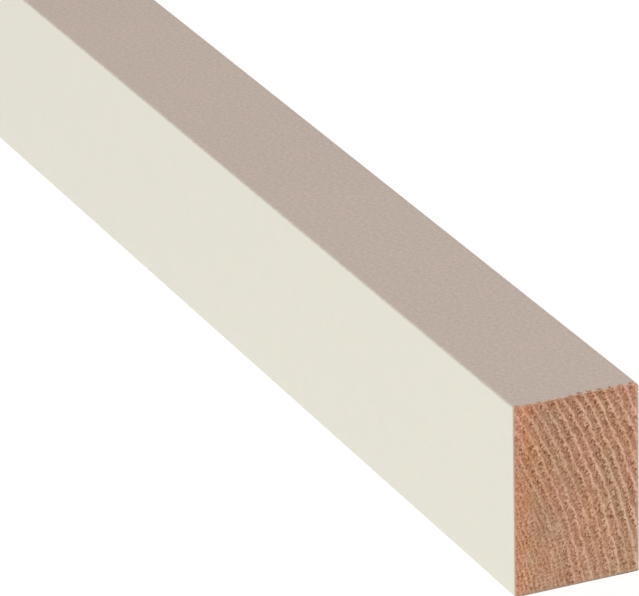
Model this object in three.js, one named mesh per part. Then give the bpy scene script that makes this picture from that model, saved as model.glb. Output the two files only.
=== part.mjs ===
import * as THREE from 'three';

// A plain rectangular moulding strip of painted softwood, in millimetres, with Z up.
// It lies along X on its narrow side, and the origin is the middle of its underside.
// The front face looks towards -Y, and the sawn end in full view looks towards +X.

// Driving dimensions
const STRIP_LENGTH = 300;
const STRIP_WIDTH = 20;
const STRIP_HEIGHT = 30;
const UPPER_FRONT_ARRIS_RADIUS = 0.35;
const UPPER_BACK_ARRIS_RADIUS = 0.9;
const LOWER_ARRIS_RADIUS = 0.3;
const ARRIS_STEPS = 8;

// Cream satin paint
const PAINT_COLOUR = '#e6e4d7';
const PAINT_ROUGHNESS = 0.5;
const PAINT_METALNESS = 0;

const QUARTER_TURN = Math.PI / 2;

// Section seen from the +X end: width across, height up, with an eased arris at each corner.
function stripSection() {
  const outline = new THREE.Shape();
  // The corners run round from the lower back one, and each side is -1 or 1 from the middle.
  const corners = [
    { backward: 1, upward: -1, radius: LOWER_ARRIS_RADIUS },
    { backward: 1, upward: 1, radius: UPPER_BACK_ARRIS_RADIUS },
    { backward: -1, upward: 1, radius: UPPER_FRONT_ARRIS_RADIUS },
    { backward: -1, upward: -1, radius: LOWER_ARRIS_RADIUS },
  ];
  corners.forEach(({ backward, upward, radius }, index) => {
    const across = backward * (STRIP_WIDTH / 2 - radius);
    const up = STRIP_HEIGHT / 2 + upward * (STRIP_HEIGHT / 2 - radius);
    const start = (index - 1) * QUARTER_TURN;
    outline.absarc(across, up, radius, start, start + QUARTER_TURN, false);
  });
  outline.closePath();
  return outline;
}

// The section run out square at both ends, centred on the origin along its length.
// An arc takes two steps for each curve segment.
function stripGeometry() {
  const geometry = new THREE.ExtrudeGeometry(stripSection(), {
    depth: STRIP_LENGTH,
    steps: 1,
    curveSegments: ARRIS_STEPS / 2,
    bevelEnabled: false,
  });
  geometry.translate(0, 0, -STRIP_LENGTH / 2);
  return geometry;
}

function mouldingStrip() {
  const paint = new THREE.MeshStandardMaterial({
    color: PAINT_COLOUR,
    roughness: PAINT_ROUGHNESS,
    metalness: PAINT_METALNESS,
  });
  const strip = new THREE.Mesh(stripGeometry(), paint);
  strip.name = 'moulding_strip';
  // The run of the section turns from Z to X, its width to Y and its height to Z.
  strip.rotation.set(QUARTER_TURN, 0, QUARTER_TURN, 'ZYX');
  return strip;
}

const part = new THREE.Group();
part.add(mouldingStrip());

export default part;
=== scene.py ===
import math

import bmesh
import bpy
import numpy as np
from bpy.props import FloatProperty, FloatVectorProperty, IntProperty, PointerProperty
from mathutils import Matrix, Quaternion, Vector


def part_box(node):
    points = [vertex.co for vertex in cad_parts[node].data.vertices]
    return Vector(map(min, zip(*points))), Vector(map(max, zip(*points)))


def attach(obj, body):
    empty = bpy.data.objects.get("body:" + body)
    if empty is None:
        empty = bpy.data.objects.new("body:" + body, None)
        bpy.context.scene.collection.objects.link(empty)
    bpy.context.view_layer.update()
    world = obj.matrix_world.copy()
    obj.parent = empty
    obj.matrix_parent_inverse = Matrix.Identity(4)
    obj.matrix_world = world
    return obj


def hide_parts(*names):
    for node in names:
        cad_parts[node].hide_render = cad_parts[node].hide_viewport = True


bl_info = {
    "name": "Painted Moulding Strip",
    "version": (1, 0, 0),
    "blender": (4, 5, 0),
    "location": "3D View > Sidebar > Moulding",
    "description": "Builds a painted softwood moulding strip with bare sawn ends on a plain studio stage",
    "category": "Object",
}

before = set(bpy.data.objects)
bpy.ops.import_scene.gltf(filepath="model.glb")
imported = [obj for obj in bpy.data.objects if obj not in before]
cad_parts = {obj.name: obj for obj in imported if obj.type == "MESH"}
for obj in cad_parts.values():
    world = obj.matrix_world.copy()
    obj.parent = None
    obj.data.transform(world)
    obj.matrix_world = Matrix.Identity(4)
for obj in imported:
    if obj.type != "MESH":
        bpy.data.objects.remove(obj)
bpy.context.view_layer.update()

NODE = "moulding_strip"
BODY = "root"

# The strip's own box, in metres: it lies along X and stands on its underside.
LOW_CORNER, HIGH_CORNER = (Vector(corner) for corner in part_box(NODE))
LENGTH, WIDTH, HEIGHT = HIGH_CORNER - LOW_CORNER
MIDDLE = (LOW_CORNER + HIGH_CORNER) / 2

# The mesh is made in metres and the patterns are drawn in millimetres.
MM = 0.001
PER_METRE = 1 / MM

# Places closer than this, in metres, are the same.
TINY = 1e-6

# The curve that turns a screen code into light has a straight foot and then a power.
TOP_CODE = 255
FOOT_END = 0.04045
FOOT_SLOPE = 12.92
CURVE_OFFSET = 0.055
CURVE_POWER = 2.4

# Layers of ever finer lumps in a noise: a fine noise has more of them.
PLAIN_NOISE = 1.0
FINE_NOISE = 2.0
FINEST_NOISE = 3.0

# Places of the colours among the sockets of a mix node.
FIRST_COLOUR, SECOND_COLOUR, MIXED_COLOUR = 6, 7, 2

# In the noises each sawn end is shifted this far to its own side, in millimetres, so that they differ.
END_SHIFT = 40.0

# A face looks along the strip when more than this share of its normal does.
MOSTLY = 0.5

# Faces that meet at more than this angle keep a sharp edge between them.
SHARP_ANGLE = math.radians(40)

# Gap between two bands of the bake map, as a share of the map.
BAKE_MARGIN = 0.01
FLOOR_SIDES = 96
NEAREST_SEEN = 10 * MM


def linear(code):
    """Linear red, green and blue of a colour written as a hexadecimal screen colour."""
    channels = [int(code[start:start + 2], 16) / TOP_CODE for start in range(1, len(code), 2)]
    return tuple(
        c / FOOT_SLOPE if c <= FOOT_END else ((c + CURVE_OFFSET) / (1 + CURVE_OFFSET)) ** CURVE_POWER
        for c in channels
    )


def in_mm(length):
    """A length in millimetres, the unit of the patterns."""
    return length * PER_METRE


def a_colour(name, description, code):
    """A colour that the sidebar shows, with its default given as a screen colour."""
    return FloatVectorProperty(
        name=name,
        description=description,
        subtype="COLOR",
        size=3,
        min=0,
        max=1,
        default=linear(code),
    )


def a_length(name, description, millimetres):
    """A length that the sidebar shows, with its default given in millimetres."""
    return FloatProperty(
        name=name,
        description=description,
        unit="LENGTH",
        precision=5,
        default=millimetres * MM,
    )


def a_place(name, description, millimetres):
    """A place that the sidebar shows, with its default given in millimetres."""
    return FloatVectorProperty(
        name=name,
        description=description,
        subtype="TRANSLATION",
        unit="LENGTH",
        size=3,
        precision=5,
        default=[part * MM for part in millimetres],
    )


def a_share(name, description, share):
    """A plain number, such as a strength, that the sidebar shows."""
    return FloatProperty(name=name, description=description, default=share)


def a_count(name, description, count):
    """A whole number that the sidebar shows."""
    return IntProperty(name=name, description=description, default=count)


def a_change(name, description, shares):
    """Red, green and blue that something adds to a colour, as shares of it, in the sidebar."""
    return FloatVectorProperty(name=name, description=description, size=3, default=shares)


class StripSizes(bpy.types.PropertyGroup):
    """Sizes of the timber, of its coat of paint and of the mesh on its ends."""

    upper_front_arris: a_length("Upper front arris", "Radius of the eased edge above the front", 0.35)
    upper_back_arris: a_length("Upper back arris", "Radius of the eased edge above the back", 0.9)
    lower_arris: a_length("Lower arrises", "Radius of the two eased edges below", 0.3)
    arris_steps: a_count("Arris steps", "Flats that make up an arris", 6)
    film: a_length("Paint film", "Width of the painted rim that the saw has cut", 0.12)
    cell: a_length("Coarse cell", "First division of the sawn end", 1.0)
    cell_parts: a_count("Cell parts", "Parts that each coarse cell of the sawn end is divided into", 8)
    stations: a_count("Stations", "Lengths that the long faces are cut into", 10)
    tear: a_length("Tear depth", "Depth of the deepest fibres torn out by the saw", 0.25)
    sheltered_rim: a_length("Sheltered rim", "Width over which the tear fades out at the paint", 0.35)


class GrainSizes(bpy.types.PropertyGroup):
    """Sizes and strengths of the growth rings, the torn fibres and the stains of a sawn end."""

    pith_across: a_length("Pith across", "Heart of the log, beyond the front face", -77.0)
    pith_up: a_length("Pith up", "Height of the heart of the log over the underside", -16.4)
    wide_from: a_length("Wide rings from", "Distance of the last narrow ring from the pith", 86.88)
    ring: a_length("Ring spacing", "Distance between two wide growth rings", 1.418)
    narrow_share: a_share("Narrow rings", "Spacing of the narrow rings as a share of the wide", 0.5)
    uneven: a_length("Uneven years", "How far a whole ring lies from even spacing", 0.4)
    uneven_size: a_length("Uneven size", "Width over which the years differ", 2.5)
    wander: a_length("Wander", "How far a ring strays from its circle", 0.35)
    wander_size: a_length("Wander size", "Length of such a stray", 5.0)
    waver: a_length("Waver", "How far a ring wavers", 0.36)
    waver_size: a_length("Waver size", "Length of one waver", 1.2)
    serration: a_length("Serration", "How far torn fibres notch a ring", 0.25)
    serration_size: a_length("Serration size", "Length of one notch", 0.38)

    line_rise: a_share("Line rise", "Share of a ring where its pale line begins", 0.72)
    line_peak: a_share("Line peak", "Share of a ring where its line is palest", 0.98)
    line_end: a_share("Line end", "Share of the next ring where the line has ended", 0.19)
    torn_rise: a_share("Torn rise", "Share of a ring where the torn fibres begin", 0.34)
    torn_full: a_share("Torn full", "Share of a ring where they are all torn", 0.48)
    torn_fade: a_share("Torn fade", "Share of a ring where the torn fibres thin out", 0.76)
    torn_narrow: a_share("Narrow torn band", "Strength of the torn band of a narrow ring", 0.6)
    weak_year: a_share("Weak year", "Strength of the weakest line", 0.7)
    weak_narrow_year: a_share("Weak narrow year", "Strength of the weakest line of a narrow ring", 0.45)
    contrast_near: a_share("Contrast near pith", "Strength of the rings nearest the pith", 0.85)
    contrast_far: a_share("Contrast far out", "Strength of the outermost rings", 1.35)
    contrast_rings: a_share("Contrast rings", "Number of rings from the one strength to the other", 12.0)

    patch: a_length("Patch", "Width of a patch of stronger or weaker rings", 3.2)
    patch_low: a_share("Patch low", "Level of the noise below which the rings are weakest", 0.35)
    patch_high: a_share("Patch high", "Level of the noise above which they are strongest", 0.65)
    weak_lines: a_share("Weak lines", "Strength of the lines in a weak patch", 0.85)
    strong_lines: a_share("Strong lines", "Strength of the lines in a strong patch", 1.1)
    weak_tear: a_share("Weak tear", "Strength of the torn bands in a weak patch", 0.35)
    strong_tear: a_share("Strong tear", "Strength of the torn bands in a strong patch", 1.5)

    fibre: a_length("Fibre", "Width of a tuft of torn fibres", 0.33)
    fibre_stretch: a_share("Fibre stretch", "Length of a tuft away from the pith, in widths", 1.05)
    fibre_slant: a_share("Fibre slant", "How far a tuft leans outwards on its way up", 0.25)
    fibre_roughness: a_share("Fibre roughness", "How ragged a tuft is", 0.55)
    pit: a_length("Pit", "Distance between two pits in a torn band", 0.5)
    pit_full: a_share("Pit core", "Level of the noise below which a pit is deepest", 0.33)
    pit_edge: a_share("Pit edge", "Level of the noise above which there is no pit", 0.43)

    relief_base: a_share("Plain relief", "How deep the plain wood lies, as a share of the tear", 0.45)
    relief_line: a_share("Line relief", "How proud the lines stand, as a share of the tear", 0.45)
    relief_torn: a_share("Torn relief", "How deep the torn bands lie, as a share of the tear", 0.25)
    relief_fibre: a_share("Fibre relief", "How deep the tufts are torn, as a share of the tear", 1.3)
    relief_pit: a_share("Pit relief", "How deep the pits are, as a share of the tear", 0.4)

    tone: a_share("Tone", "Tone of the plain wood, from 0 dark to 1 pale", 0.431)
    tone_line: a_share("Line tone", "How pale the lines are", 0.4)
    tone_fibre: a_share("Fibre tone", "How pale and dark the torn tufts are", 1.5)
    tone_quiet: a_share("Quiet line tone", "How much less so on the clean pale lines", 0.7)
    tone_torn: a_share("Torn band tone", "How much more so within a torn band", 1.0)
    # The pits' darkness is partly torn wood and partly painted shade in the hollows that the relief sinks.
    pit_shade_tone: a_share("Pit tone", "How dark the pits between torn tufts are", 0.66)
    tone_patch: a_share("Patch tone", "How pale and dark the patches are", 0.5)
    tone_foot: a_share("Foot tone", "How much paler the wood is near the underside", 0.07)
    foot_low: a_length("Foot low", "Height up to which the wood is that much paler", 2.0)
    foot_high: a_length("Foot high", "Height from which it is no paler", 20.0)
    tint: a_share("Tint", "How much redder or yellower the broad streaks are", 0.2)
    tint_size: a_length("Tint size", "Width of such a streak", 4.0)
    tint_stretch: a_share("Tint stretch", "Length of a streak along the rings, in widths", 2.5)

    resin_full: a_length("Resin full", "Distance from the front face with the most resin", 0.2)
    resin_end: a_length("Resin end", "Distance from the front face where it ends", 4.5)
    resin_waver: a_length("Resin waver", "How far the edge of the resin wavers", 3.4)
    resin_waver_size: a_length("Resin waver size", "Length of one such waver", 1.6)
    stain: a_share("Stain", "Strength of the stain under the upper paint", 0.9)
    stain_full: a_length("Stain full", "Depth under the top with the most stain", 0.2)
    stain_end: a_length("Stain end", "Depth under the top where the stain ends", 2.4)
    stain_waver: a_length("Stain waver", "How far the edge of the stain wavers", 5.0)
    stain_waver_size: a_length("Stain waver size", "Length of one such waver", 1.0)

    dull_tone: a_share("Dull tone", "Tone below which the wood is dullest", 0.2)
    smooth_tone: a_share("Smooth tone", "Tone above which the wood is smoothest", 0.8)
    dull: a_share("Dull", "Roughness of the darkest wood", 0.85)
    smooth: a_share("Smooth", "Roughness of the palest wood", 0.7)
    bump: a_share("Fibre bump", "Strength of the bump of the finest fibres", 0.4)
    bump_depth: a_length("Bump depth", "Depth of that bump", 0.1)


class PaintSizes(bpy.types.PropertyGroup):
    """Sizes and strengths of the coat of paint, of its dust, of the painted shade along the underside and of
    its broken edge at the saw cut.
    """

    mottle: a_share("Mottle", "How much paler and darker the broad patches are", 0.01)
    mottle_size: a_length("Mottle size", "Width of such a patch", 40.0)
    mottle_low: a_share("Mottle low", "Level of the noise below which a patch is darkest", 0.3)
    mottle_high: a_share("Mottle high", "Level of the noise above which it is palest", 0.7)
    redder: a_share("Redder", "How much the red of the paint varies", 0.04)
    yellower: a_share("Yellower", "How much the blue of the paint varies", 0.03)
    tint_size: a_length("Tint size", "Width of a redder or yellower patch", 4.0)
    speckle_size: a_length("Speckle size", "Width of a speck of dust", 0.6)
    speckle_roughness: a_share("Speckle roughness", "How ragged the specks are", 0.7)
    speckle_sides: a_share("Speckle on sides", "Strength of the specks on the sides", 0.08)
    speckle_top: a_share("Speckle on top", "Strength of the specks on the top face", 0.6)
    speckle_low: a_length("Speckle low", "Depth under the top where they are those of the sides", 0.5)
    speckle_high: a_length("Speckle high", "Depth under the top where they are those of the top", 0.1)
    satin: a_share("Satin", "Roughness of the darkest patches", 0.42)
    matt: a_share("Matt", "Roughness of the palest patches", 0.5)
    peel: a_share("Peel", "Strength of the bump that the brush left", 0.2)
    peel_size: a_length("Peel size", "Width of one such lump", 0.8)
    peel_depth: a_length("Peel depth", "Depth of that bump", 0.02)

    top_low: a_length("Top low", "Depth under the top where the upper rim begins", 1.0)
    top_high: a_length("Top high", "Depth under the top where it is all upper rim", 0.2)
    rag: a_length("Rag", "How ragged the edge of the paint is along the upper rim", 1.0)
    rag_size: a_length("Rag size", "Width of one tatter", 0.4)
    rag_roughness: a_share("Rag roughness", "How jagged a tatter is", 0.6)
    rag_below: a_share("Rag below", "Share of that raggedness along the other rims", 0.3)
    tinted_from: a_length("Tinted from", "Distance from the cut where the torn tint is full", 0.1)
    tinted_to: a_length("Tinted to", "Distance from the cut where the torn tint ends", 0.8)
    cut: a_share("Cut line", "Strength of the line that the cut film draws on the faces", 0.9)
    cut_width: a_length("Cut line width", "Width of that line", 0.03)
    rim: a_length("Rim", "Distance from the cut to where the paint can break away", 0.05)
    rim_hold: a_length("Rim hold", "How much less far it breaks away past that rim", 0.1)
    tooth: a_length("Tooth", "How far a torn band of wood breaks the paint away", 0.38)
    tooth_loss: a_length("Tooth loss", "How much of that the paint withstands", 0.1)
    tooth_core: a_length("Tooth core", "Distance within a tooth where the wood is barest", 0.2)
    tooth_hem: a_length("Tooth hem", "Distance past a tooth where the paint is whole", 0.08)
    bare: a_share("Bare", "Strength of the wood within a tooth", 0.8)
    # These two paint light: the wood in the teeth is painted brighter past the rim to offset the dimmer
    # light on the top face.
    painted_light_at_cut: a_share("Bare at cut", "Brightness of that wood at the cut", 0.95)
    painted_light_past_rim: a_share("Bare past rim", "Brightness of that wood past the rim", 1.15)
    bare_roughness: a_share("Bare roughness", "Roughness of that wood", 0.85)

    hem: a_share("Hem", "Strength of the paint that hangs into the torn fibres", 0.75)
    # The wider hem at the underside is partly paint smeared into the fibres and partly painted contact
    # shade, as it takes the darkened film colour.
    hem_and_shade_below: a_length("Hem below", "Width of the hem at the underside", 0.3)
    hem_above: a_length("Hem above", "Width of the hem along the sides and the top", 0.15)
    hem_height: a_length("Hem height", "Height at which the hem has narrowed", 1.0)
    haze: a_share("Haze", "Strength of the paint dust inside the rim", 0.35)
    haze_width: a_length("Haze width", "Width of that dust", 0.6)
    smear_low: a_length("Smear low", "Depth under the top where hem and haze grow fainter", 1.0)
    smear_high: a_length("Smear high", "Depth under the top where they are faintest", 0.6)
    smear_top: a_share("Smear at top", "Share of hem and haze left there", 0.6)
    # The next three settings paint contact shade: they darken the cut film near the underside, where the
    # strip stands on the floor.
    dust: a_share("Dust", "Brightness of the cut film where dust darkens it", 0.55)
    underside_shade_full: a_length("Dust full", "Height up to which dust is thickest", 0.1)
    underside_shade_end: a_length("Dust end", "Height where the dust ends", 0.45)


class StripColours(bpy.types.PropertyGroup):
    """Colours of the paint and of the bare end grain."""

    paint: a_colour("Paint", "Cream satin paint", "#e8e9dc")
    torn_paint: a_colour("Torn paint", "Paint pulled at by the saw along the cut", "#ece3d3")
    cut_film: a_colour("Cut film", "Sawn edge of the coat of paint", "#cdb7a3")
    pore: a_colour("Torn pore", "Deepest shade between torn fibres", "#8b5d3d")
    early_wood: a_colour("Early wood", "Soft wood between two rings", "#b98d6d")
    late_wood: a_colour("Late wood", "Hard, cleanly cut line of a ring", "#deb99d")
    resin: a_change("Resin", "What resin near the front face adds to the wood", (0.16, 0.0, -0.08))
    stain: a_change("Stain", "What paint soaking in from the top adds to it", (0.02, -0.13, -0.14))


class StudioSettings(bpy.types.PropertyGroup):
    """Settings of the floor, the light and the camera."""

    floor: a_colour("Floor", "Pale floor", "#a0a0a0")
    horizon: a_colour("Horizon", "Light from the studio walls", "#f8f8f6")
    ceiling: a_colour("Ceiling", "Warmer light from above", "#f9e0de")
    key_colour: a_colour("Key colour", "Colour of the soft light at the front", "#edfff8")
    floor_radius: a_length("Floor radius", "Distance from the middle to the floor's edge", 30000.0)
    floor_gap: a_length("Floor gap", "Gap that keeps the floor clear of the underside", 0.02)
    floor_glow: a_share("Floor glow", "Light that the floor gives", 0.84)
    floor_cloud: a_length("Floor cloud", "Width of a smoother or rougher patch of the floor", 500.0)
    floor_smooth: a_share("Floor smooth", "Roughness of the smoothest patch", 0.9)
    floor_rough: a_share("Floor rough", "Roughness of the roughest patch", 1.0)
    ceiling_from: a_share("Ceiling from", "Height, 0 level and 1 overhead, where all is ceiling", 0.4)
    wall_light: a_share("Wall light", "Strength of the studio's light", 0.6)
    key_power: FloatProperty(
        name="Key light",
        description="Power of the soft light at the front",
        subtype="POWER",
        default=3.5,
    )
    key_width: a_length("Key width", "Width of the soft light", 800.0)
    key_place: a_place("Key place", "Soft light, from the near end's middle", (750.0, -950.0, 350.0))
    viewpoint: a_place("Viewpoint", "Camera, from the near lower front corner", (712.002, -342.199, 383.811))
    aim: a_place("Aim", "Point looked at, from the near lower front corner", (0.0, -29.489, 52.588))
    roll: FloatProperty(
        name="Roll",
        description="Turn of the camera about its line of sight",
        subtype="ANGLE",
        default=math.radians(-1.373),
    )
    lens: a_share("Lens", "Focal length in millimetres", 343.823)
    film_back: a_share("Film back", "Width of the picture behind that lens in millimetres", 36.0)


class Sheet:
    """One node tree, whose nodes are joined as they are made."""

    def __init__(self, tree):
        self.tree = tree

    def join(self, value, socket):
        """Links a socket to another, or sets a plain value on it."""
        if isinstance(value, bpy.types.NodeSocket):
            self.tree.links.new(value, socket)
        else:
            socket.default_value = value

    def node(self, kind, inputs=None, **settings):
        """A new node with its settings and its inputs, by name or place."""
        made = self.tree.nodes.new(kind)
        for setting, value in settings.items():
            setattr(made, setting, value)
        for socket, value in (inputs or {}).items():
            self.join(value, made.inputs[socket])
        return made

    def math(self, operation, first, second=0.0, third=0.0):
        """The result of one sum on numbers."""
        made = self.node("ShaderNodeMath", {0: first, 1: second, 2: third}, operation=operation)
        return made.outputs[0]

    def add(self, first, *others):
        """The sum of all the numbers."""
        for other in others:
            first = self.math("ADD", first, other)
        return first

    def times(self, first, *others):
        """The product of all the numbers."""
        for other in others:
            first = self.math("MULTIPLY", first, other)
        return first

    def less(self, first, second):
        """The first number less the second."""
        return self.math("SUBTRACT", first, second)

    def scaled(self, vector, factor):
        """A vector or colour times a number."""
        made = self.node("ShaderNodeVectorMath", {0: vector, "Scale": factor}, operation="SCALE")
        return made.outputs[0]

    def vector(self, across, up, deep):
        """A vector of three numbers."""
        return self.node("ShaderNodeCombineXYZ", {0: across, 1: up, 2: deep}).outputs[0]

    def ramp(self, value, low, high, start=0.0, end=1.0, kind="SMOOTHSTEP"):
        """Start up to low, end from high on, and a rise between them."""
        made = self.node(
            "ShaderNodeMapRange",
            {"Value": value, "From Min": low, "From Max": high, "To Min": start, "To Max": end},
            interpolation_type=kind,
        )
        return made.outputs[0]

    def noise(self, place, size, detail=PLAIN_NOISE, roughness=0.5):
        """Soft noise from 0 to 1 whose lumps are about as wide as size, in the place's own unit."""
        made = self.node(
            "ShaderNodeTexNoise",
            {"Vector": place, "Scale": 1 / size, "Detail": detail, "Roughness": roughness},
        )
        return made.outputs[0]

    def swing(self, place, size, reach=0.5, detail=PLAIN_NOISE, roughness=0.5):
        """The same noise centred on zero, with reach as its whole range to either side."""
        centred = self.less(self.noise(place, size, detail, roughness), 0.5)
        return self.times(centred, 2 * reach)

    def chance(self, number):
        """A random number from 0 to 1 for each whole number."""
        return self.node("ShaderNodeTexWhiteNoise", {"W": number}, noise_dimensions="1D").outputs["Value"]

    def mix(self, share, first, second):
        """Two colours mixed by a share from 0 to 1."""
        inputs = {"Factor": share, FIRST_COLOUR: first, SECOND_COLOUR: second}
        return self.node("ShaderNodeMix", inputs, data_type="RGBA").outputs[MIXED_COLOUR]

    def tinted(self, colour, shades):
        """A colour times another, channel by channel."""
        made = self.node("ShaderNodeVectorMath", {0: colour, 1: shades}, operation="MULTIPLY")
        return made.outputs[0]


def opaque(colour):
    """A colour property as red, green, blue and full alpha."""
    return (*colour, 1.0)


def split_place(sheet, place):
    """Place in the section, in millimetres: along the strip, across from the front face, and up."""
    parts = sheet.node("ShaderNodeSeparateXYZ", {0: sheet.scaled(place, PER_METRE)}).outputs
    across = sheet.add(parts[1], -in_mm(LOW_CORNER.y))
    return parts[0], across, parts[2]


def depth_in_section(sheet, across, up, sizes):
    """Distance in millimetres from a point of the sawn end to the rounded outline of the section."""
    half_width = in_mm(WIDTH) / 2
    half_height = in_mm(HEIGHT) / 2
    from_middle = sheet.less(across, half_width)
    over_middle = sheet.less(up, half_height)
    at_back = sheet.math("GREATER_THAN", from_middle, 0.0)
    at_top = sheet.math("GREATER_THAN", over_middle, 0.0)
    front_radius = in_mm(sizes.upper_front_arris)
    upper_radius = sheet.ramp(at_back, 0.0, 1.0, front_radius, in_mm(sizes.upper_back_arris))
    radius = sheet.ramp(at_top, 0.0, 1.0, in_mm(sizes.lower_arris), upper_radius)
    sides = []
    for offset, half in ((from_middle, half_width), (over_middle, half_height)):
        past_flat = sheet.less(sheet.math("ABSOLUTE", offset), half)
        sides.append(sheet.add(past_flat, radius))
    outside = [sheet.math("MAXIMUM", side, 0.0) for side in sides]
    corner = sheet.math("SQRT", sheet.add(*[sheet.times(side, side) for side in outside]))
    flat = sheet.math("MINIMUM", sheet.math("MAXIMUM", *sides), 0.0)
    return sheet.less(radius, sheet.add(corner, flat))


def growth_rings(sheet, along, across, up, grain):
    """Growth rings and torn fibres of a sawn end, as a few numbers for its relief and its colour."""
    end = sheet.times(sheet.math("SIGN", along), END_SHIFT)
    place = sheet.vector(across, up, end)
    from_pith_across = sheet.less(across, in_mm(grain.pith_across))
    from_pith_up = sheet.less(up, in_mm(grain.pith_up))
    squares = [sheet.times(part, part) for part in (from_pith_across, from_pith_up)]
    radius = sheet.math("SQRT", sheet.add(*squares))
    turn = sheet.math("ARCTAN2", from_pith_up, from_pith_across)
    arc = sheet.times(turn, in_mm(grain.wide_from))

    # A ring strays, wavers and is notched, and the years differ a little.
    wandering = sheet.add(
        radius,
        sheet.swing(sheet.vector(radius, 0.0, end), in_mm(grain.uneven_size), in_mm(grain.uneven)),
        sheet.swing(place, in_mm(grain.wander_size), in_mm(grain.wander)),
        sheet.swing(place, in_mm(grain.waver_size), in_mm(grain.waver)),
        sheet.swing(place, in_mm(grain.serration_size), in_mm(grain.serration)),
    )
    wide = sheet.math("DIVIDE", sheet.less(wandering, in_mm(grain.wide_from)), in_mm(grain.ring))
    is_wide = sheet.math("GREATER_THAN", wide, 0.0)
    count = sheet.times(wide, sheet.ramp(is_wide, 0.0, 1.0, 1 / grain.narrow_share, 1.0))

    # Each ring ends in a thin pale line of hard wood, with a band of torn fibres before it.
    within = sheet.math("FRACT", count)
    rise = sheet.ramp(within, grain.line_rise, grain.line_peak)
    fall = sheet.ramp(within, 0.0, grain.line_end, 1.0, 0.0)
    tear = sheet.ramp(within, grain.torn_rise, grain.torn_full)
    thinning = sheet.ramp(within, grain.torn_fade, 1.0, 1.0, 0.0)
    patch_noise = sheet.noise(place, in_mm(grain.patch), FINE_NOISE)
    patches = sheet.ramp(patch_noise, grain.patch_low, grain.patch_high)
    weakest = sheet.ramp(is_wide, 0.0, 1.0, grain.weak_narrow_year, grain.weak_year)
    year = sheet.ramp(sheet.chance(sheet.math("ROUND", count)), 0.0, 1.0, weakest, 1.0)
    contrast = sheet.ramp(wide, 0.0, grain.contrast_rings, grain.contrast_near, grain.contrast_far)
    late = sheet.times(
        sheet.math("MAXIMUM", rise, fall),
        year,
        contrast,
        sheet.ramp(patches, 0.0, 1.0, grain.weak_lines, grain.strong_lines),
    )
    torn = sheet.times(
        tear,
        thinning,
        contrast,
        sheet.ramp(is_wide, 0.0, 1.0, grain.torn_narrow, 1.0),
        sheet.ramp(patches, 0.0, 1.0, grain.weak_tear, grain.strong_tear),
    )

    # The saw tears the fibres out in tufts that lean outwards on their way up, with pits between them.
    slanted = sheet.less(radius, sheet.times(arc, grain.fibre_slant))
    tuft_place = sheet.vector(sheet.math("DIVIDE", slanted, grain.fibre_stretch), arc, end)
    fibre = in_mm(grain.fibre)
    fibres = sheet.swing(tuft_place, fibre, detail=FINE_NOISE, roughness=grain.fibre_roughness)
    holes = sheet.noise(tuft_place, in_mm(grain.pit))
    pits = sheet.times(torn, sheet.ramp(holes, grain.pit_full, grain.pit_edge, 1.0, 0.0))
    streak_place = sheet.vector(radius, sheet.math("DIVIDE", arc, grain.tint_stretch), end)
    clumps = sheet.swing(streak_place, in_mm(grain.patch) / 2, detail=FINEST_NOISE)
    return {
        "late": late,
        "torn": torn,
        "fibres": fibres,
        "pits": pits,
        "clumps": clumps,
        "streak_place": streak_place,
    }


def select_only(piece):
    """Makes one object the only selected one, and the active one."""
    bpy.ops.object.select_all(action="DESELECT")
    piece.select_set(True)
    bpy.context.view_layer.objects.active = piece


def select_parts(mesh, kind, wanted):
    """In edit mode, selects only the vertices, edges or faces that pass a test."""
    bpy.ops.mesh.select_mode(type=kind)
    bpy.ops.mesh.select_all(action="DESELECT")
    shape = bmesh.from_edit_mesh(mesh)
    for part in {"VERT": shape.verts, "EDGE": shape.edges, "FACE": shape.faces}[kind]:
        if wanted(part):
            part.select = True
    shape.select_flush_mode()
    bmesh.update_edit_mesh(mesh)


def depth_at(point, sizes):
    """Distance from a point of the plate to the plate's rounded outline."""
    radius = sizes.lower_arris
    if point.z > MIDDLE.z:
        radius = sizes.upper_back_arris if point.y > MIDDLE.y else sizes.upper_front_arris
    past_side = abs(point.y - MIDDLE.y) - WIDTH / 2 + radius
    past_top = abs(point.z - MIDDLE.z) - HEIGHT / 2 + radius
    corner = math.hypot(max(past_side, 0), max(past_top, 0))
    return radius - corner - min(max(past_side, past_top), 0)


def section_plate(sizes):
    """The section at the near end: a plate with eased corners and a rim as wide as the cut paint."""
    bpy.ops.object.select_all(action="DESELECT")
    bpy.ops.mesh.primitive_plane_add(
        size=1,
        location=(HIGH_CORNER.x, MIDDLE.y, MIDDLE.z),
        rotation=(0, math.pi / 2, 0),
    )
    strip = bpy.context.object
    strip.name = "painted_strip"
    strip.data.name = "painted_strip"
    strip.scale = (HEIGHT, WIDTH, 1)
    bpy.ops.object.transform_apply(location=True, rotation=True, scale=True)
    bpy.ops.object.mode_set(mode="EDIT")
    arrises = (
        (sizes.lower_arris, lambda vert: vert.co.z < MIDDLE.z),
        (sizes.upper_front_arris, lambda vert: vert.co.z > MIDDLE.z and vert.co.y < MIDDLE.y),
        (sizes.upper_back_arris, lambda vert: vert.co.z > MIDDLE.z and vert.co.y > MIDDLE.y),
    )
    for radius, at_arris in arrises:
        select_parts(strip.data, "VERT", lambda vert: at_arris(vert) and is_corner(vert.co))
        bpy.ops.mesh.bevel(offset=radius, segments=sizes.arris_steps, affect="VERTICES")
    select_parts(strip.data, "FACE", lambda face: True)
    bpy.ops.mesh.inset(thickness=sizes.film, depth=0)
    return strip


def is_corner(point):
    """True for a square corner of the section that isn't eased yet."""
    at_side = min(abs(point.y - LOW_CORNER.y), abs(point.y - HIGH_CORNER.y)) < TINY
    at_level = min(abs(point.z - LOW_CORNER.z), abs(point.z - HIGH_CORNER.z)) < TINY
    return at_side and at_level


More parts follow.
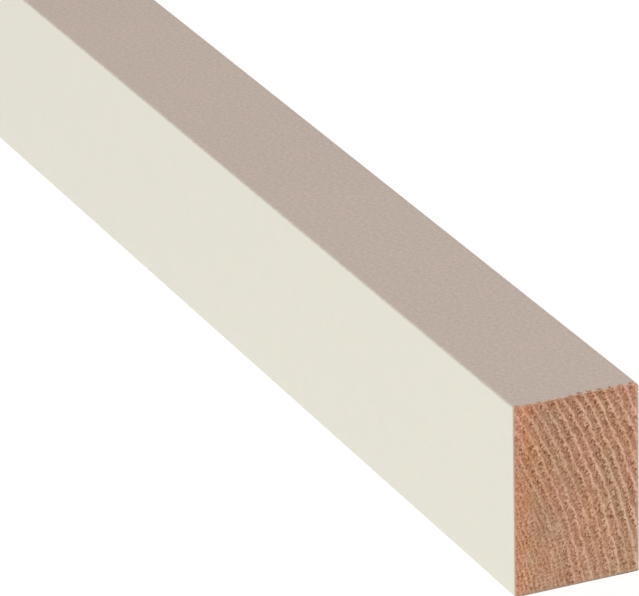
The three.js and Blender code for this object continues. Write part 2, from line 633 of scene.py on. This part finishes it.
def cut_flats(mesh, axis, cells, sizes):
    """Divides the straight edges that run along one axis, first into cells and then into their parts."""
    for shortest, pieces in ((cells * sizes.cell / 2, cells), (sizes.cell / 2, sizes.cell_parts)):
        select_parts(
            mesh,
            "EDGE",
            lambda edge: abs(edge.verts[0].co[axis] - edge.verts[1].co[axis]) > shortest,
        )
        bpy.ops.mesh.subdivide(number_cuts=pieces - 1)


def fill_wood(strip, sizes):
    """Fills the plate inside its rim with a fine even grid, the bare wood of the sawn end."""
    mesh = strip.data
    bpy.ops.mesh.delete(type="ONLY_FACE")
    cells_across = round((WIDTH - 2 * sizes.upper_back_arris) / sizes.cell)
    cells_up = round((HEIGHT - 2 * sizes.upper_back_arris) / sizes.cell)
    cut_flats(mesh, 1, cells_across, sizes)
    cut_flats(mesh, 2, cells_up, sizes)

    def is_inner(edge):
        return edge.is_boundary and min(depth_at(vert.co, sizes) for vert in edge.verts) > sizes.film / 2

    select_parts(mesh, "EDGE", is_inner)
    shape = bmesh.from_edit_mesh(mesh)
    loop = [vert for vert in shape.verts if vert.select]
    first = min(loop, key=lambda vert: vert.co.y + vert.co.z)
    shape.select_history.clear()
    shape.select_history.add(first)
    bmesh.update_edit_mesh(mesh)
    bpy.ops.mesh.fill_grid(span=cells_across * sizes.cell_parts + sizes.arris_steps, offset=0)


def run_out_length(strip, sizes):
    """Copies the plate to the far end and joins the two outlines by long faces cut at even stations."""
    bpy.ops.mesh.select_mode(type="FACE")
    bpy.ops.mesh.select_all(action="SELECT")
    bpy.ops.mesh.duplicate_move(TRANSFORM_OT_translate={"value": (-LENGTH, 0, 0)})
    select_parts(strip.data, "EDGE", lambda edge: edge.is_boundary)
    bpy.ops.mesh.bridge_edge_loops(number_cuts=sizes.stations - 1, interpolation="LINEAR")
    bpy.ops.mesh.select_all(action="SELECT")
    bpy.ops.mesh.normals_make_consistent(inside=False)
    bpy.ops.object.mode_set(mode="OBJECT")


def lay_bake_map(strip):
    """Gives the mesh a map with both sawn ends large and the four long faces in bands below them."""
    mesh = strip.data
    select_only(strip)
    bpy.ops.mesh.uv_texture_add()
    mesh.uv_layers.active.name = "OFBake"
    loops = len(mesh.loops)
    faces = len(mesh.polygons)
    corner_vertex = np.empty(loops, dtype=np.int32)
    mesh.loops.foreach_get("vertex_index", corner_vertex)
    points = np.empty(len(mesh.vertices) * 3)
    mesh.vertices.foreach_get("co", points)
    corners = points.reshape(-1, 3)[corner_vertex]
    normals = np.empty(faces * 3)
    mesh.polygons.foreach_get("normal", normals)
    sides = np.empty(faces, dtype=np.int32)
    mesh.polygons.foreach_get("loop_total", sides)
    facing = np.repeat(normals.reshape(-1, 3), sides, axis=0)
    largest = np.abs(facing).argmax(axis=1)
    along, across, up = (corners - np.array(LOW_CORNER)).T
    band_scale = (1 - 2 * BAKE_MARGIN) / LENGTH
    spread = np.empty((loops, 2))
    floor = BAKE_MARGIN
    for axis, measure, size in ((1, up, HEIGHT), (2, across, WIDTH)):
        for sign in (-1, 1):
            chosen = (largest == axis) & (np.sign(facing[:, axis]) == sign)
            spread[chosen, 0] = BAKE_MARGIN + along[chosen] * band_scale
            spread[chosen, 1] = floor + measure[chosen] * band_scale
            floor += size * band_scale + BAKE_MARGIN
    end_scale = (1 - BAKE_MARGIN - floor) / HEIGHT
    start = BAKE_MARGIN
    for sign in (1, -1):
        chosen = (largest == 0) & (np.sign(facing[:, 0]) == sign)
        spread[chosen, 0] = start + across[chosen] * end_scale
        spread[chosen, 1] = floor + up[chosen] * end_scale
        start += WIDTH * end_scale + BAKE_MARGIN
    mesh.uv_layers["OFBake"].data.foreach_set("uv", spread.ravel())


def tear_ends(strip, sizes, grain):
    """Sinks the bare wood of both ends into torn fibres, with the late wood of each ring left proud."""
    tree = bpy.data.node_groups.new("sawn_end_relief", "GeometryNodeTree")
    tree.interface.new_socket("Geometry", in_out="INPUT", socket_type="NodeSocketGeometry")
    tree.interface.new_socket("Geometry", in_out="OUTPUT", socket_type="NodeSocketGeometry")
    sheet = Sheet(tree)
    start = sheet.node("NodeGroupInput")
    place = sheet.node("GeometryNodeInputPosition").outputs[0]
    along, across, up = split_place(sheet, place)
    rings = growth_rings(sheet, along, across, up, grain)
    inside = depth_in_section(sheet, across, up, sizes)
    film = in_mm(sizes.film)
    shelter = sheet.ramp(inside, film, film + in_mm(sizes.sheltered_rim))
    sunk = sheet.add(
        grain.relief_base,
        sheet.times(rings["late"], -grain.relief_line),
        sheet.times(rings["torn"], grain.relief_torn),
        sheet.times(rings["fibres"], -grain.relief_fibre),
        sheet.times(rings["pits"], grain.relief_pit),
    )
    sunk = sheet.math("MINIMUM", sheet.math("MAXIMUM", sunk, 0.0), 1.0)
    inwards = sheet.times(sunk, shelter, sheet.math("SIGN", along), -sizes.tear)
    at_end = sheet.math("GREATER_THAN", sheet.math("ABSOLUTE", along), in_mm(LENGTH / 2 - TINY))
    moved = sheet.node(
        "GeometryNodeSetPosition",
        {
            "Geometry": start.outputs[0],
            "Selection": at_end,
            "Offset": sheet.vector(inwards, 0.0, 0.0),
        },
    )
    sheet.node("NodeGroupOutput", {0: moved.outputs[0]})
    select_only(strip)
    bpy.ops.object.modifier_add(type="NODES")
    modifier = strip.modifiers[-1]
    modifier.node_group = tree
    bpy.ops.object.modifier_apply(modifier=modifier.name)


def new_material(name):
    """An empty node material with its output, as a sheet, its shader and the object's own place."""
    material = bpy.data.materials.new(name)
    material.use_nodes = True
    material.node_tree.nodes.clear()
    sheet = Sheet(material.node_tree)
    shader = sheet.node("ShaderNodeBsdfPrincipled")
    sheet.node("ShaderNodeOutputMaterial", {"Surface": shader.outputs[0]})
    place = sheet.node("ShaderNodeTexCoord").outputs["Object"]
    return material, sheet, shader, place


def three_shades(sheet, tone, dark, middle, light):
    """A colour that runs from dark over middle to light as the tone runs from 0 to 1."""
    halfway = 0.5
    lower = sheet.ramp(tone, 0.0, halfway, kind="LINEAR")
    upper = sheet.ramp(tone, halfway, 1.0, kind="LINEAR")
    return sheet.mix(upper, sheet.mix(lower, opaque(dark), opaque(middle)), opaque(light))


def wood_tone(sheet, rings, up, grain):
    """Tone of bare end grain, from 0 to 1: pale lines, pits darkened partly as torn wood and partly as
    painted shade in their hollows, and both kinds of torn tuft.
    """
    fibre_tone = sheet.add(
        grain.tone_fibre,
        sheet.times(rings["late"], -grain.tone_quiet),
        sheet.times(rings["torn"], grain.tone_torn),
    )
    return sheet.add(
        grain.tone,
        sheet.times(rings["late"], grain.tone_line),
        sheet.times(rings["fibres"], fibre_tone),
        # Painted shade, in part: the pits that the relief sinks are also darkened in colour.
        sheet.times(rings["pits"], -grain.pit_shade_tone),
        sheet.times(rings["clumps"], grain.tone_patch),
        sheet.ramp(up, in_mm(grain.foot_low), in_mm(grain.foot_high), grain.tone_foot, 0.0),
    )


def wood_colour(sheet, rings, tone, across, up, grain, colours):
    """Colour of bare end grain by its tone, with resin, soaked-in paint and faint warm and cool streaks."""
    colour = three_shades(sheet, tone, colours.pore, colours.early_wood, colours.late_wood)
    streaks = rings["streak_place"]

    # Resin warms the wood near the front face.
    waver = sheet.swing(streaks, in_mm(grain.resin_waver_size), in_mm(grain.resin_waver), FINE_NOISE)
    from_front = sheet.add(across, waver)
    resin = sheet.ramp(from_front, in_mm(grain.resin_full), in_mm(grain.resin_end), 1.0, 0.0)

    # The paint on top has soaked in wherever there is no resin.
    waver = sheet.swing(streaks, in_mm(grain.stain_waver_size), in_mm(grain.stain_waver), FINE_NOISE)
    under_top = sheet.less(in_mm(HEIGHT), sheet.add(up, waver))
    soaked = sheet.ramp(under_top, in_mm(grain.stain_full), in_mm(grain.stain_end), grain.stain, 0.0)
    stain = sheet.times(soaked, sheet.less(1.0, resin))

    # Broad streaks are a little redder or yellower, from two places of one noise.
    size = in_mm(grain.tint_size)
    further = sheet.node("ShaderNodeVectorMath", {0: streaks, 1: (size, size, size)}).outputs[0]
    swings = (
        sheet.swing(streaks, size, grain.tint, FINEST_NOISE),
        0.0,
        sheet.swing(further, size, grain.tint, FINEST_NOISE),
    )
    shades = [
        sheet.add(sheet.times(resin, by_resin), sheet.times(stain, by_stain), swing, 1.0)
        for by_resin, by_stain, swing in zip(colours.resin, colours.stain, swings)
    ]
    return sheet.tinted(colour, sheet.vector(*shades))


def film_colour(sheet, up, paint, colours):
    """The sawn edge of the paint, darkened near the underside by painted contact shade where the strip
    stands on the floor.
    """
    painted_brightness = sheet.ramp(up, in_mm(paint.underside_shade_full), in_mm(paint.underside_shade_end), paint.dust, 1.0)
    return sheet.scaled(tuple(colours.cut_film), painted_brightness)


def from_top(sheet, up, low, high, start=0.0, end=1.0):
    """A rise from start to end between two depths under the top face."""
    return sheet.ramp(up, in_mm(HEIGHT - low), in_mm(HEIGHT - high), start, end)


def coat_colour(sheet, place, mottle, paint, colours):
    """Colour of whole paint: speckled with dust on top, and a little uneven all over."""
    along, across, up = place
    point = sheet.vector(*place)
    speckle_size = in_mm(paint.speckle_size)
    speckle = sheet.swing(point, speckle_size, detail=FINEST_NOISE, roughness=paint.speckle_roughness)
    on_sides, on_top = paint.speckle_sides, paint.speckle_top
    strength = from_top(sheet, up, paint.speckle_low, paint.speckle_high, on_sides, on_top)
    shade = sheet.add(
        1.0,
        sheet.times(speckle, strength),
        sheet.ramp(mottle, paint.mottle_low, paint.mottle_high, -paint.mottle, paint.mottle),
    )
    elsewhere = sheet.vector(sheet.add(along, in_mm(LENGTH)), across, up)
    size = in_mm(paint.tint_size)
    redder = sheet.swing(point, size, paint.redder, FINE_NOISE)
    yellower = sheet.swing(elsewhere, size, -paint.yellower, FINE_NOISE)
    shades = sheet.vector(sheet.add(shade, redder), shade, sheet.add(shade, yellower))
    return sheet.tinted(tuple(colours.paint), shades)


def broken_paint(sheet, rings, ragged, to_end, past_rim, near_top, paint):
    """How bare the wood is along the cut, from 0 to 1, where its torn bands have broken the paint away."""
    torn_reach = sheet.times(rings["torn"], in_mm(paint.tooth))
    reach = sheet.times(near_top, sheet.less(torn_reach, in_mm(paint.tooth_loss)))
    tooth = sheet.add(
        sheet.less(to_end, reach),
        sheet.times(ragged, past_rim),
        sheet.times(past_rim, in_mm(paint.rim_hold)),
    )
    return sheet.ramp(tooth, -in_mm(paint.tooth_core), in_mm(paint.tooth_hem), paint.bare, 0.0)


def paint_material(grain, paint, colours):
    """Cream satin paint, speckled with dust on top, and torn along the sawn ends."""
    material, sheet, shader, place = new_material("cream_paint")
    along, across, up = split_place(sheet, place)
    point = sheet.vector(along, across, up)
    mottle = sheet.noise(point, in_mm(paint.mottle_size), FINE_NOISE)
    colour = coat_colour(sheet, (along, across, up), mottle, paint, colours)

    # Along the cut the paint is tinted, and ends in the dark line of the sawn film, which carries painted
    # contact shade near the underside.
    to_end = sheet.less(in_mm(LENGTH) / 2, sheet.math("ABSOLUTE", along))
    near_top = from_top(sheet, up, paint.top_low, paint.top_high)
    rag = in_mm(paint.rag)
    tatters = sheet.swing(point, in_mm(paint.rag_size), rag, FINE_NOISE, paint.rag_roughness)
    ragged = sheet.times(tatters, sheet.add(near_top, paint.rag_below))
    tinted_from = in_mm(paint.tinted_from)
    tinted = sheet.ramp(sheet.add(to_end, ragged), tinted_from, in_mm(paint.tinted_to), 1.0, 0.0)
    colour = sheet.mix(tinted, colour, opaque(colours.torn_paint))
    cut = sheet.ramp(to_end, 0.0, in_mm(paint.cut_width), paint.cut, 0.0)
    colour = sheet.mix(cut, colour, film_colour(sheet, up, paint, colours))

    # Along the upper rim, teeth of wood show through where the paint has broken away, painted brighter on
    # the top face to offset its dimmer light.
    rings = growth_rings(sheet, along, across, up, grain)
    tone = wood_tone(sheet, rings, up, grain)
    wood = wood_colour(sheet, rings, tone, across, up, grain, colours)
    rim = in_mm(paint.rim)
    past_rim = sheet.ramp(to_end, 0.0, rim)
    bare = broken_paint(sheet, rings, ragged, to_end, past_rim, near_top, paint)
    # Painted light: the wood of the teeth brightens past the rim, onto the less lit top face.
    painted_brightness = sheet.ramp(to_end, 0.0, rim, paint.painted_light_at_cut, paint.painted_light_past_rim)
    colour = sheet.mix(bare, colour, sheet.scaled(wood, painted_brightness))
    sheet.join(colour, shader.inputs["Base Color"])

    roughness = sheet.ramp(mottle, paint.mottle_low, paint.mottle_high, paint.satin, paint.matt)
    sheet.join(sheet.ramp(bare, 0.0, 1.0, roughness, paint.bare_roughness), shader.inputs["Roughness"])
    peel = sheet.noise(point, in_mm(paint.peel_size), FINE_NOISE)
    bumps = {"Height": peel, "Strength": paint.peel, "Distance": paint.peel_depth}
    sheet.join(sheet.node("ShaderNodeBump", bumps).outputs[0], shader.inputs["Normal"])
    return material


def end_grain_material(sizes, grain, paint, colours):
    """Bare sawn end grain, dusted with paint next to the rim."""
    material, sheet, shader, place = new_material("sawn_end_grain")
    along, across, up = split_place(sheet, place)
    rings = growth_rings(sheet, along, across, up, grain)
    tone = wood_tone(sheet, rings, up, grain)
    colour = wood_colour(sheet, rings, tone, across, up, grain, colours)

    # Paint hangs into the torn fibres as a hem, with a haze of its dust inside that. At the underside the
    # hem is wider and takes the film colour's painted contact shade.
    inside = depth_in_section(sheet, across, up, sizes)
    film = in_mm(sizes.film)
    hem_and_shade_below = film + in_mm(paint.hem_and_shade_below)
    hem_above = film + in_mm(paint.hem_above)
    hem_end = sheet.ramp(up, 0.0, in_mm(paint.hem_height), hem_and_shade_below, hem_above)
    hem = sheet.ramp(sheet.add(inside, rings["fibres"]), film, hem_end, paint.hem, 0.0)
    haze = sheet.ramp(inside, film, film + in_mm(paint.haze_width), paint.haze, 0.0)
    under_top = from_top(sheet, up, paint.smear_low, paint.smear_high, 1.0, paint.smear_top)
    smear = sheet.times(sheet.math("MAXIMUM", hem, haze), under_top)
    colour = sheet.mix(smear, colour, film_colour(sheet, up, paint, colours))
    sheet.join(colour, shader.inputs["Base Color"])

    roughness = sheet.ramp(tone, grain.dull_tone, grain.smooth_tone, grain.dull, grain.smooth)
    sheet.join(roughness, shader.inputs["Roughness"])
    bumps = {"Height": rings["fibres"], "Strength": grain.bump, "Distance": grain.bump_depth}
    sheet.join(sheet.node("ShaderNodeBump", bumps).outputs[0], shader.inputs["Normal"])
    return material


def dress_strip(strip, sizes, grain, paint, colours):
    """Paint on the long faces and on the rim of the cut film, bare end grain inside the rims."""
    strip.data.materials.append(paint_material(grain, paint, colours))
    strip.data.materials.append(end_grain_material(sizes, grain, paint, colours))
    select_only(strip)
    bpy.ops.object.mode_set(mode="EDIT")

    def is_wood(face):
        return abs(face.normal.x) > MOSTLY and depth_at(face.calc_center_median(), sizes) > sizes.film

    select_parts(strip.data, "FACE", is_wood)
    strip.active_material_index = 1
    bpy.ops.object.material_slot_assign()
    bpy.ops.object.mode_set(mode="OBJECT")


class MOULDING_OT_build_strip(bpy.types.Operator):
    """Build the painted strip with its bare sawn ends in place of the plain solid"""

    bl_idname = "moulding.build_strip"
    bl_label = "Build Strip"

    def execute(self, context):
        sizes = context.scene.moulding_sizes
        grain = context.scene.moulding_grain
        paint = context.scene.moulding_paint
        strip = section_plate(sizes)
        fill_wood(strip, sizes)
        run_out_length(strip, sizes)
        lay_bake_map(strip)
        dress_strip(strip, sizes, grain, paint, context.scene.moulding_colours)
        select_only(strip)
        bpy.ops.object.shade_smooth_by_angle(angle=SHARP_ANGLE)
        tear_ends(strip, sizes, grain)
        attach(strip, BODY)
        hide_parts(NODE)
        return {"FINISHED"}


def build_floor(studio):
    """A wide pale floor that gives a little light of its own, as a light table does."""
    bpy.ops.object.select_all(action="DESELECT")
    bpy.ops.mesh.primitive_circle_add(
        vertices=FLOOR_SIDES,
        radius=studio.floor_radius,
        fill_type="NGON",
        location=(0, 0, LOW_CORNER.z - studio.floor_gap),
    )
    floor = bpy.context.object
    floor.name = "studio_floor"
    bpy.ops.object.transform_apply(location=True, rotation=True, scale=True)
    material, sheet, shader, place = new_material("pale_floor")
    cloud = sheet.noise(place, studio.floor_cloud)
    roughness = sheet.ramp(cloud, 0.0, 1.0, studio.floor_smooth, studio.floor_rough)
    sheet.join(opaque(studio.floor), shader.inputs["Base Color"])
    sheet.join(roughness, shader.inputs["Roughness"])
    sheet.join(0.0, shader.inputs["Specular IOR Level"])
    sheet.join((1.0, 1.0, 1.0, 1.0), shader.inputs["Emission Color"])
    sheet.join(studio.floor_glow, shader.inputs["Emission Strength"])
    floor.data.materials.append(material)


def build_walls(studio):
    """Studio light from all round: bright at the horizon, dimmer and warmer overhead."""
    world = bpy.data.worlds.new("studio_walls")
    world.use_nodes = True
    world.node_tree.nodes.clear()
    sheet = Sheet(world.node_tree)
    direction = sheet.node("ShaderNodeTexCoord").outputs["Generated"]
    height = sheet.node("ShaderNodeSeparateXYZ", {0: direction}).outputs[2]
    share = sheet.ramp(height, 0.0, studio.ceiling_from)
    colour = sheet.mix(share, opaque(studio.horizon), opaque(studio.ceiling))
    light = sheet.node("ShaderNodeBackground", {"Color": colour, "Strength": studio.wall_light})
    sheet.node("ShaderNodeOutputWorld", {"Surface": light.outputs[0]})
    bpy.context.scene.world = world


def build_key_light(studio):
    """One large soft light at the front, a little above the strip."""
    bpy.ops.object.select_all(action="DESELECT")
    target = Vector((HIGH_CORNER.x, MIDDLE.y, MIDDLE.z))
    place = target + Vector(studio.key_place)
    bpy.ops.object.light_add(type="AREA", location=place)
    lamp = bpy.context.object
    lamp.name = "soft_front_light"
    lamp.rotation_euler = (target - place).to_track_quat("-Z", "Y").to_euler()
    lamp.data.shape = "DISK"
    lamp.data.size = studio.key_width
    lamp.data.energy = studio.key_power
    lamp.data.color = studio.key_colour
    lamp.visible_camera = False


def build_camera(studio):
    """The photograph's viewpoint, measured from the near lower front corner of the strip."""
    corner = Vector((HIGH_CORNER.x, LOW_CORNER.y, LOW_CORNER.z))
    place = corner + Vector(studio.viewpoint)
    looking = corner + Vector(studio.aim) - place
    bpy.ops.object.camera_add(location=place)
    camera = bpy.context.object
    camera.name = "photo_camera"
    camera.rotation_mode = "QUATERNION"
    camera.rotation_quaternion = looking.to_track_quat("-Z", "Y") @ Quaternion((0, 0, 1), studio.roll)
    camera.data.lens = studio.lens
    camera.data.sensor_width = studio.film_back
    camera.data.clip_start = NEAREST_SEEN
    bpy.context.scene.camera = camera


class MOULDING_OT_build_stage(bpy.types.Operator):
    """Build the pale floor, the soft studio light and the camera of the photograph"""

    bl_idname = "moulding.build_stage"
    bl_label = "Build Stage"

    def execute(self, context):
        studio = context.scene.moulding_studio
        build_floor(studio)
        build_walls(studio)
        build_key_light(studio)
        build_camera(studio)
        context.scene.view_settings.view_transform = "Standard"
        return {"FINISHED"}


class MOULDING_PT_panel(bpy.types.Panel):
    """Sizes, colours and steps of the moulding strip"""

    bl_idname = "MOULDING_PT_panel"
    bl_label = "Moulding Strip"
    bl_space_type = "VIEW_3D"
    bl_region_type = "UI"
    bl_category = "Moulding"

    def draw(self, context):
        for title, group in (
            ("Sizes", context.scene.moulding_sizes),
            ("Grain", context.scene.moulding_grain),
            ("Paint", context.scene.moulding_paint),
            ("Colours", context.scene.moulding_colours),
            ("Studio", context.scene.moulding_studio),
        ):
            box = self.layout.box()
            box.label(text=title)
            for setting in group.bl_rna.properties:
                if setting.identifier not in {"rna_type", "name"}:
                    box.prop(group, setting.identifier)
        self.layout.operator(MOULDING_OT_build_strip.bl_idname)
        self.layout.operator(MOULDING_OT_build_stage.bl_idname)


CLASSES = (
    StripSizes,
    GrainSizes,
    PaintSizes,
    StripColours,
    StudioSettings,
    MOULDING_OT_build_strip,
    MOULDING_OT_build_stage,
    MOULDING_PT_panel,
)


def register():
    for item in CLASSES:
        bpy.utils.register_class(item)
    bpy.types.Scene.moulding_sizes = PointerProperty(type=StripSizes)
    bpy.types.Scene.moulding_grain = PointerProperty(type=GrainSizes)
    bpy.types.Scene.moulding_paint = PointerProperty(type=PaintSizes)
    bpy.types.Scene.moulding_colours = PointerProperty(type=StripColours)
    bpy.types.Scene.moulding_studio = PointerProperty(type=StudioSettings)


def unregister():
    del bpy.types.Scene.moulding_studio
    del bpy.types.Scene.moulding_colours
    del bpy.types.Scene.moulding_paint
    del bpy.types.Scene.moulding_grain
    del bpy.types.Scene.moulding_sizes
    for item in reversed(CLASSES):
        bpy.utils.unregister_class(item)


def main():
    register()
    bpy.ops.moulding.build_strip()
    bpy.ops.moulding.build_stage()


if __name__ == "__main__":
    main()
